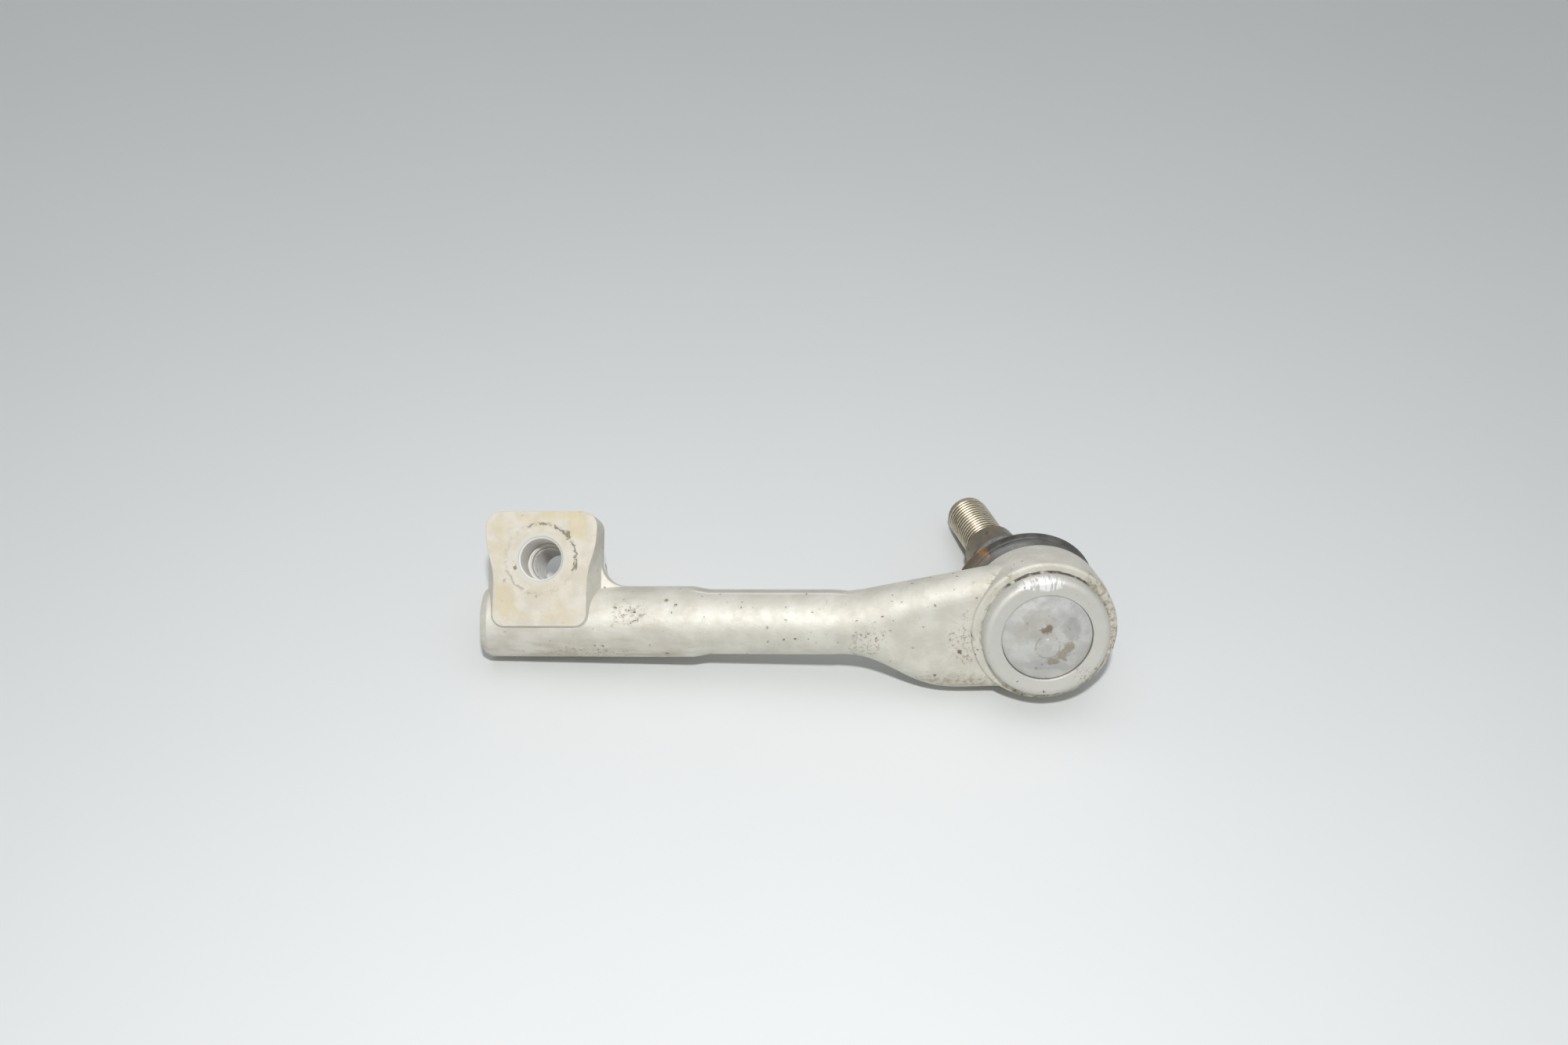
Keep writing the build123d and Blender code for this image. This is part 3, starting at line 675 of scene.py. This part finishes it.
tree.links.new(roughness, shader.inputs["Roughness"])
dents = calc(tree, "MULTIPLY_ADD", noise(tree, joint, 2.0), 0.25, noise(tree, joint, 0.25, 2))
dents = calc(tree, "MULTIPLY_ADD", ring, -0.3, dents)
relief(tree, shader, dents, 0.5, 0.3)
finish_node("closing_plate", plate_steel)


# Dust boot
# Moulded black rubber bellows: a thick lip on the housing's spigot, one full bulge pressed over
# towards the table, and a collar round the stud. Dull, dusty, with an orange-brown rust stain.

rubber, tree, shader = new_finish("rubber", 0)
joint = on_axes(tree, joint_place)
dust = blotches(tree, joint, 0.6, 5, 0.65, 0.52, 0.72)
rust = patches(tree, ((joint, (-19.0, 14.5, -15.0), (6.5, 5.5, 5.0)),), 0.7, 0.35)
ochre = patches(tree, ((joint, (-15.4, 17.0, -14.0), (2.0, 1.8, 4.0)),), 0.9, 0.5)
colour = tint(tree, use(tree, mottle, joint, Size=5.0), (0.062, 0.061, 0.058), (0.115, 0.112, 0.106))
colour = layer(tree, colour, dust, 0.35, (0.16, 0.14, 0.11))
colour = layer(tree, colour, rust, 0.75, (0.185, 0.145, 0.105))
colour = layer(tree, colour, ochre, 0.8, (0.34, 0.17, 0.06))
tree.links.new(colour, shader.inputs["Base Color"])
tree.links.new(calc(tree, "MULTIPLY_ADD", noise(tree, joint, 0.8), 0.2, 0.36), shader.inputs["Roughness"])
relief(tree, shader, noise(tree, joint, 1.8, 4), 0.35, 0.12)

# The lip's rings are given by distance below the joint's centre and radius, the collar's by distance
# beyond the ball's centre along the stud and radius. A ring of the bellows between them has both
# distances, its share of the way from joint to stud, and its radii along and across the bulge.
lip = (
    (9.5, 18.3), (9.8, 18.6), (10.2, 18.65), (10.3, 17.9), (12.7, 17.9), (12.8, 18.65), (13.3, 18.7),
)
bellows = (
    (13.8, 13.8, 0.06, 19.5, 19.4),
    (14.5, 14.5, 0.12, 20.4, 20.1),
    (15.2, 14.9, 0.18, 20.3, 19.8),
    (15.8, 15.1, 0.25, 19.5, 18.9),
    (16.4, 14.8, 0.34, 20.4, 19.2),
    (17.0, 14.2, 0.42, 21.9, 19.9),
    (17.7, 13.7, 0.50, 22.4, 20.1),
    (18.7, 14.6, 0.58, 21.9, 19.6),
    (20.3, 16.4, 0.70, 20.4, 18.6),
    (22.4, 18.4, 0.79, 18.3, 17.3),
    (24.5, 20.6, 0.87, 15.6, 15.6),
)
collar = (
    (23.0, 13.2), (25.0, 11.9), (27.0, 11.3), (29.1, 11.3), (29.2, 10.45), (31.8, 10.45), (31.9, 11.3),
    (32.5, 11.3), (32.8, 11.1),
)
rings = [(below, 0, 0, radius, radius) for below, radius in lip]
rings += bellows
rings += [(0, beyond, 1, radius, radius) for beyond, radius in collar]

# The bulge stands off the straight way from joint to stud, because the leaning stud presses it over
pressed_up, pressed_back = 1.7, 0.8
ring_sides = 96
joint_sideways = joint_way.cross(joint_across)
boot = None
for below, beyond, share, width, depth in rings:
    on_joint = joint_centre - below * MM * joint_way
    on_stud = ball_centre + beyond * MM * stud_way
    most = 4 * share * (1 - share) * MM
    pressed = most * (pressed_up * joint_sideways - pressed_back * joint_across)
    centre = (1 - share) * on_joint + share * on_stud + pressed
    way = (share * stud_way - (1 - share) * joint_way).normalized()
    across = (joint_across - way * joint_across.dot(way)).normalized()
    ring_place = place(centre, across, way.cross(across), way)
    bpy.ops.object.select_all(action="DESELECT")
    bpy.ops.mesh.primitive_circle_add(vertices=ring_sides, radius=1, location=(0, 0, 0))
    ring = bpy.context.object
    ring.data.transform(ring_place @ Matrix.Diagonal((width * MM, depth * MM, 1, 1)))
    if boot is None:
        boot = ring
    else:
        boot.select_set(True)
        bpy.context.view_layer.objects.active = boot
        bpy.ops.object.join()

# Each ring bridged to the next
for index in range(len(rings) - 1):
    bpy.ops.object.mode_set(mode="EDIT")
    bpy.ops.mesh.select_all(action="DESELECT")
    bpy.ops.object.mode_set(mode="OBJECT")
    for edge in boot.data.edges:
        first, second = (vertex // ring_sides for vertex in edge.vertices)
        edge.select = first == second and first in (index, index + 1)
    bpy.ops.object.mode_set(mode="EDIT")
    bpy.ops.mesh.select_mode(type="EDGE")
    bpy.ops.mesh.bridge_edge_loops()
bpy.ops.mesh.select_all(action="SELECT")
bpy.ops.mesh.normals_make_consistent(inside=False)
bpy.ops.object.mode_set(mode="OBJECT")

# Rings given their wall and rounded once
wall_thickness = 0.95
wall = boot.modifiers.new("wall", "SOLIDIFY")
wall.thickness = wall_thickness * MM
wall.offset = -1
bpy.ops.object.modifier_apply(modifier=wall.name)
smooth = boot.modifiers.new("smooth", "SUBSURF")
smooth.levels = smooth.render_levels = 1
bpy.ops.object.modifier_apply(modifier=smooth.name)
bpy.ops.object.shade_smooth()
boot.name = boot.data.name = "rubber_boot"
boot.data.materials.append(rubber)
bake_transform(boot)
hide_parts("dust_boot")


# Boot rings
# Two flat bands of spring steel that pull the boot's lip onto the spigot and its collar onto the
# stud. They lie in grooves of the rubber and are dull, with brown edges.

spring_band, tree, shader = new_finish("spring_band", 0.85)
joint = on_axes(tree, joint_place)
rusty = blotches(tree, joint, 0.5, 5, 0.65, 0.5, 0.66)
colour = tint(tree, use(tree, mottle, joint, Size=3.0), (0.26, 0.24, 0.21), (0.42, 0.41, 0.38))
colour = layer(tree, colour, rusty, 0.7, (0.20, 0.11, 0.05))
tree.links.new(colour, shader.inputs["Base Color"])
tree.links.new(calc(tree, "MULTIPLY_ADD", rusty, 0.3, 0.35), shader.inputs["Roughness"])
relief(tree, shader, noise(tree, joint, 2.0, 4), 0.3, 0.05)
finish_node("boot_lower_ring", spring_band)
finish_node("boot_upper_ring", spring_band)


# Camera
# Hand-held about 45 cm from the part and nearly over it, turned a degree from level. Its place and the
# point that it looks at are given in millimetres along the rod's own axes.

lens_at = rod_place @ (Vector((-54.39, 179.78, 415.87)) * MM)
aim = rod_place @ (Vector((-76.33, 31.83, 0)) * MM)
camera_roll = math.radians(1.079)
forward = (aim - lens_at).normalized()
level = forward.cross(rod_place.col[1].to_3d()).normalized()
right = Matrix.Rotation(camera_roll, 3, forward) @ level
down = forward.cross(right)
camera_data = bpy.data.cameras.new("camera")
camera_data.lens = 34.378
camera_data.sensor_width = 36
camera_data.clip_start = 0.01
camera = bpy.data.objects.new("camera", camera_data)
camera.matrix_world = place(lens_at, right, -down, -forward)
bpy.context.scene.collection.objects.link(camera)
bpy.context.scene.camera = camera


# Table, light and room
# A pale table under a flash just above the lens, so that a narrow crisp shadow lies along the near
# side of the part, with a broad weak lamp overhead and an even pale room round it.

table_size = 40
bpy.ops.mesh.primitive_plane_add(size=table_size, location=(0, 0, 0))
table = bpy.context.object
table.name = "table"
table_top, tree, shader = new_finish("table_top", 0)
where = add(tree, "TexCoord").outputs["Object"]
colour = tint(tree, noise(tree, where, 7, 4), (0.735, 0.75, 0.745), (0.765, 0.78, 0.775))
tree.links.new(colour, shader.inputs["Base Color"])
shader.inputs["Roughness"].default_value = 0.7
shader.inputs["Specular IOR Level"].default_value = 0.2
table.data.materials.append(table_top)


def lamp(name, at, size, power):
    """Disc lamp aimed at the part."""
    middle = Vector((0, 0, 0.02))
    data = bpy.data.lights.new(name, "AREA")
    data.shape = "DISK"
    data.size = size
    data.energy = power
    made = bpy.data.objects.new(name, data)
    bpy.context.scene.collection.objects.link(made)
    made.location = at
    made.rotation_euler = (at - middle).to_track_quat("Z", "Y").to_euler()


# Flash over the lens and a little to its right, a fifth further out than the lens
flash_above = 112
flash_beside = 12
times_as_far = 1.2
flash_at = (lens_at - flash_above * MM * down + flash_beside * MM * right) * times_as_far
lamp("flash", flash_at, size=0.035, power=2.25)
lamp("ceiling", Vector((0, 0, 1.5)) - 0.5 * down, size=2.2, power=9)

# The room lights the part weakly, but the camera sees it white, and reflections two thirds as bright
world = bpy.data.worlds.new("room")
bpy.context.scene.world = world
world.use_nodes = True
tree = world.node_tree
background = tree.nodes["Background"]
path = add(tree, "LightPath")
seen = strongest(tree, path.outputs["Is Camera Ray"], path.outputs["Is Transmission Ray"])
strength = calc(tree, "MULTIPLY_ADD", seen, 0.70, 0.30)
strength = calc(tree, "MULTIPLY_ADD", path.outputs["Is Glossy Ray"], 0.35, strength)
tree.links.new(strength, background.inputs["Strength"])
background.inputs["Color"].default_value = (0.93, 0.96, 1.0, 1)
bpy.context.scene.view_settings.view_transform = "Standard"
